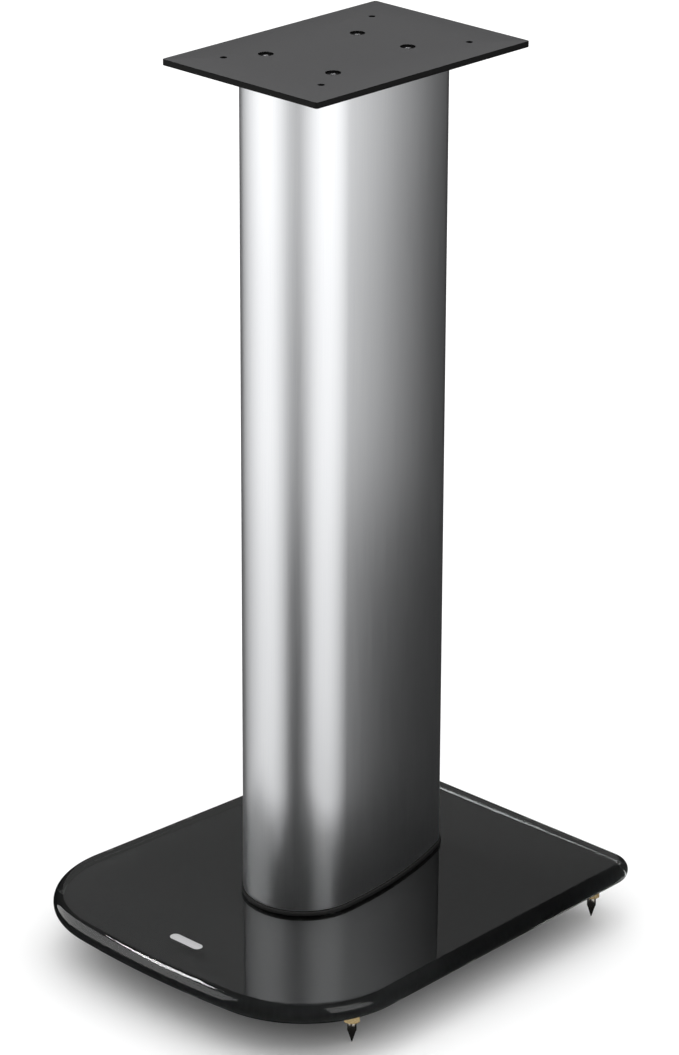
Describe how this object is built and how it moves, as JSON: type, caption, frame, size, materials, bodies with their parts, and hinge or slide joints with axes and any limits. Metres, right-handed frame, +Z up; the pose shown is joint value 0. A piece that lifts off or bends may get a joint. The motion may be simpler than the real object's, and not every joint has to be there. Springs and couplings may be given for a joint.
{
  "type": "loudspeaker stand",
  "caption": "Loudspeaker stand with a flat top plate, a hollow extruded column, a thick round-edged glass base and levelling spikes with lock nuts.",
  "frame": {"origin": "on the floor, under the middle of the base's width and length, level with the spike tips", "axes": "+Z up, -Y to the bowed front of the base, +X to the stand's side on the right when seen from the front"},
  "size_m": [0.2784, 0.3316, 0.6096],
  "materials": {
    "top_plate": "fine satin powder coat",
    "top_screw": "bright zinc plate",
    "column": "satin anodised",
    "foot_gasket": "matt",
    "base_glass": "polished, painted black beneath",
    "bolt_sleeve": "natural nylon",
    "glass_cushion": "matt",
    "underframe": "black powder coat",
    "column_bolt": "zinc plate",
    "foot_nut": "bright",
    "foot_spike": "polished nickel plate",
    "badge": "satin"
  },
  "bodies": {
    "stand": {"top_plate": "top_plate", "top_screw_1": "top_screw", "top_screw_2": "top_screw", "top_screw_3": "top_screw", "top_screw_4": "top_screw", "column": "column", "foot_gasket": "foot_gasket", "base_glass": "base_glass", "bolt_sleeve_1": "bolt_sleeve", "bolt_sleeve_2": "bolt_sleeve", "bolt_sleeve_3": "bolt_sleeve", "bolt_sleeve_4": "bolt_sleeve", "glass_cushion": "glass_cushion", "underframe": "underframe", "column_bolt_1": "column_bolt", "column_bolt_2": "column_bolt", "column_bolt_3": "column_bolt", "column_bolt_4": "column_bolt", "badge": "badge"},
    "spike_1": {"foot_spike_1": "foot_spike"},
    "nut_1": {"foot_nut_1": "foot_nut"},
    "spike_2": {"foot_spike_2": "foot_spike"},
    "nut_2": {"foot_nut_2": "foot_nut"},
    "spike_3": {"foot_spike_3": "foot_spike"},
    "nut_3": {"foot_nut_3": "foot_nut"},
    "spike_4": {"foot_spike_4": "foot_spike"},
    "nut_4": {"foot_nut_4": "foot_nut"}
  },
  "joints": [
    {"name": "spike_travel_1", "type": "slide", "parent": "stand", "child": "spike_1", "axis": [0, 0, -1], "range_m": [0, 0.003]},
    {"name": "nut_turn_1", "type": "hinge", "parent": "spike_1", "child": "nut_1", "pos_m": [-0.1132, -0.0938, 0.018], "axis": [0, 0, -1], "range_deg": [0, 1080]},
    {"name": "spike_travel_2", "type": "slide", "parent": "stand", "child": "spike_2", "axis": [0, 0, -1], "range_m": [0, 0.003]},
    {"name": "nut_turn_2", "type": "hinge", "parent": "spike_2", "child": "nut_2", "pos_m": [0.1132, -0.0938, 0.018], "axis": [0, 0, -1], "range_deg": [0, 1080]},
    {"name": "spike_travel_3", "type": "slide", "parent": "stand", "child": "spike_3", "axis": [0, 0, -1], "range_m": [0, 0.003]},
    {"name": "nut_turn_3", "type": "hinge", "parent": "spike_3", "child": "nut_3", "pos_m": [-0.1074, 0.1446, 0.018], "axis": [0, 0, -1], "range_deg": [0, 1080]},
    {"name": "spike_travel_4", "type": "slide", "parent": "stand", "child": "spike_4", "axis": [0, 0, -1], "range_m": [0, 0.003]},
    {"name": "nut_turn_4", "type": "hinge", "parent": "spike_4", "child": "nut_4", "pos_m": [0.1074, 0.1446, 0.018], "axis": [0, 0, -1], "range_deg": [0, 1080]}
  ],
  "couplings": [
    {"joint": "nut_turn_1", "follows": "spike_travel_1", "rad_per_m": 6283.2},
    {"joint": "nut_turn_2", "follows": "spike_travel_2", "rad_per_m": 6283.2},
    {"joint": "nut_turn_3", "follows": "spike_travel_3", "rad_per_m": 6283.2},
    {"joint": "nut_turn_4", "follows": "spike_travel_4", "rad_per_m": 6283.2}
  ]
}
